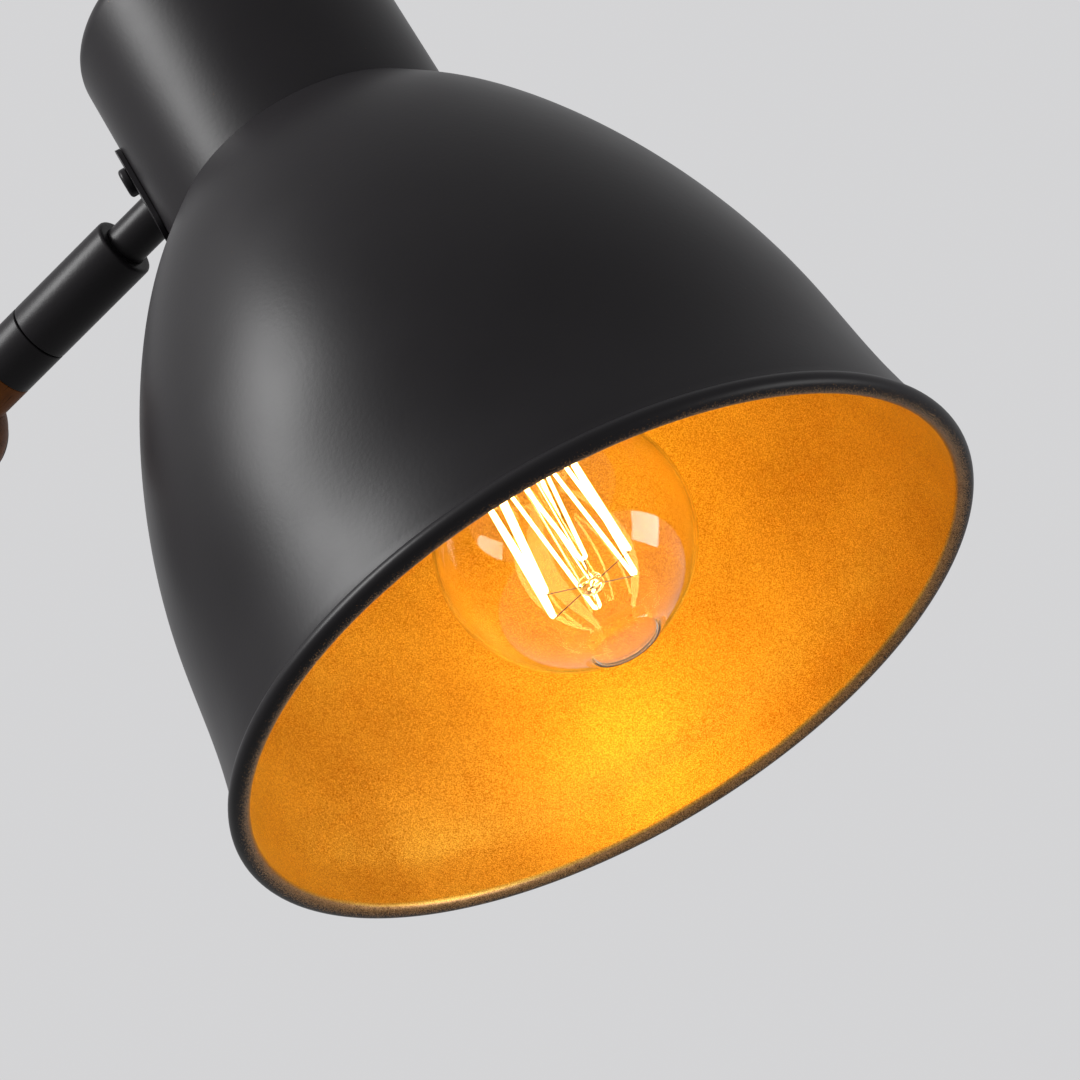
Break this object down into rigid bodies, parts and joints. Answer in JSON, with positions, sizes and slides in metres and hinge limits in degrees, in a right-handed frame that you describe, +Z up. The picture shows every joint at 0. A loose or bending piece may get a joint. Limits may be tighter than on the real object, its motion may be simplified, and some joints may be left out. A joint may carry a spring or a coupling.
{
  "type": "swing arm wall light",
  "caption": "Swing arm wall light: round canopy with a switch, wooden arm on an upright pin, clamped elbow and a swivelling bell shade.",
  "frame": {"origin": "middle of the canopy's back on the wall, halfway between the two wall-screw slots", "axes": "+Y into the wall, so the light stands out along -Y; +Z up; +X to the right seen from the room"},
  "size_m": [0.4859, 0.3721, 0.244],
  "materials": {
    "black_steel": "satin black powder coat",
    "shade_aluminium": "satin black coat outside, gold coat inside",
    "dark_wood": "dark oiled",
    "zinc_steel": "zinc plated",
    "brass": "plain",
    "black_plastic": "moulded",
    "white_plastic": "moulded",
    "nylon": "natural",
    "fibre": "pressed fibre",
    "bulb_clear_glass": "clear, faint amber",
    "cap_nickel": "nickel plated",
    "cap_black_glass": "glossy",
    "cap_solder": "solder",
    "filament_glow": "glowing",
    "support_wire": "dark wire"
  },
  "bodies": {
    "base": {"wall_bracket": "zinc_steel", "canopy": "black_steel", "canopy_screws": "black_steel", "terminal_block": "white_plastic", "terminal_barrels": "brass", "terminal_screws": "zinc_steel", "earth_screw": "zinc_steel", "switch_body": "black_plastic", "switch_blades": "brass", "wall_fork": "black_steel", "fork_nipple": "zinc_steel", "fork_nut": "zinc_steel", "tooth_washer": "zinc_steel", "swing_pin": "black_steel", "pin_screw": "black_steel", "swing_washers": "nylon"},
    "rocker": {"rocker_button": "black_plastic"},
    "lower_arm": {"arm_knuckle": "black_steel", "lower_core_tube": "zinc_steel", "lower_wood_rod": "dark_wood", "elbow_fork": "black_steel", "grub_screws": "black_steel", "pivot_bolt": "black_steel", "friction_washers": "fibre", "knob_washer": "black_steel"},
    "knob": {"clamp_knob": "black_plastic", "knob_insert": "brass"},
    "upper_arm": {"elbow_hub": "dark_wood", "pivot_bush": "brass", "upper_core_tube": "zinc_steel", "wood_sleeve": "dark_wood", "rear_collar": "black_steel", "swivel_washer": "nylon", "circlip": "zinc_steel"},
    "head": {"swivel_sleeve": "black_steel", "stub_tube": "black_steel", "stub_nut": "zinc_steel", "stub_washer": "zinc_steel", "neck_saddle": "black_steel", "saddle_screws": "black_steel", "saddle_nuts": "zinc_steel", "holder_bracket": "zinc_steel", "holder_nipple": "zinc_steel", "nipple_nuts": "zinc_steel", "shade": "shade_aluminium", "lampholder_body": "black_plastic", "lampholder_cap": "black_plastic", "lampholder_thread": "brass", "lampholder_contact": "brass", "bulb_glass": "bulb_clear_glass", "bulb_cap": "cap_nickel", "cap_insulator": "cap_black_glass", "cap_contact": "cap_solder", "bulb_stem": "bulb_clear_glass", "filament": "filament_glow", "filament_supports": "support_wire"}
  },
  "joints": [
    {"name": "arm_swing", "type": "hinge", "parent": "base", "child": "lower_arm", "pos_m": [0, -0.048, 0], "axis": [0, 0, 1], "range_deg": [-130.7, 19.3]},
    {"name": "elbow_tilt", "type": "hinge", "parent": "lower_arm", "child": "upper_arm", "pos_m": [0.18174, -0.17198, 0], "axis": [-0.5635, -0.8261, 0], "range_deg": [-103.4, 41.6]},
    {"name": "head_swivel", "type": "hinge", "parent": "upper_arm", "child": "head", "pos_m": [0.21278, -0.19315, 0.02477], "axis": [0.6897, -0.4705, 0.5505], "range_deg": [-165, 165]},
    {"name": "knob_turn", "type": "hinge", "parent": "lower_arm", "child": "knob", "pos_m": [0.17047, -0.1885, 0], "axis": [-0.5635, -0.8261, 0], "range_deg": [0, 180]},
    {"name": "switch_rock", "type": "hinge", "parent": "base", "child": "rocker", "pos_m": [0, -0.0254, -0.033], "axis": [1, 0, 0], "range_deg": [-18, 0]}
  ]
}
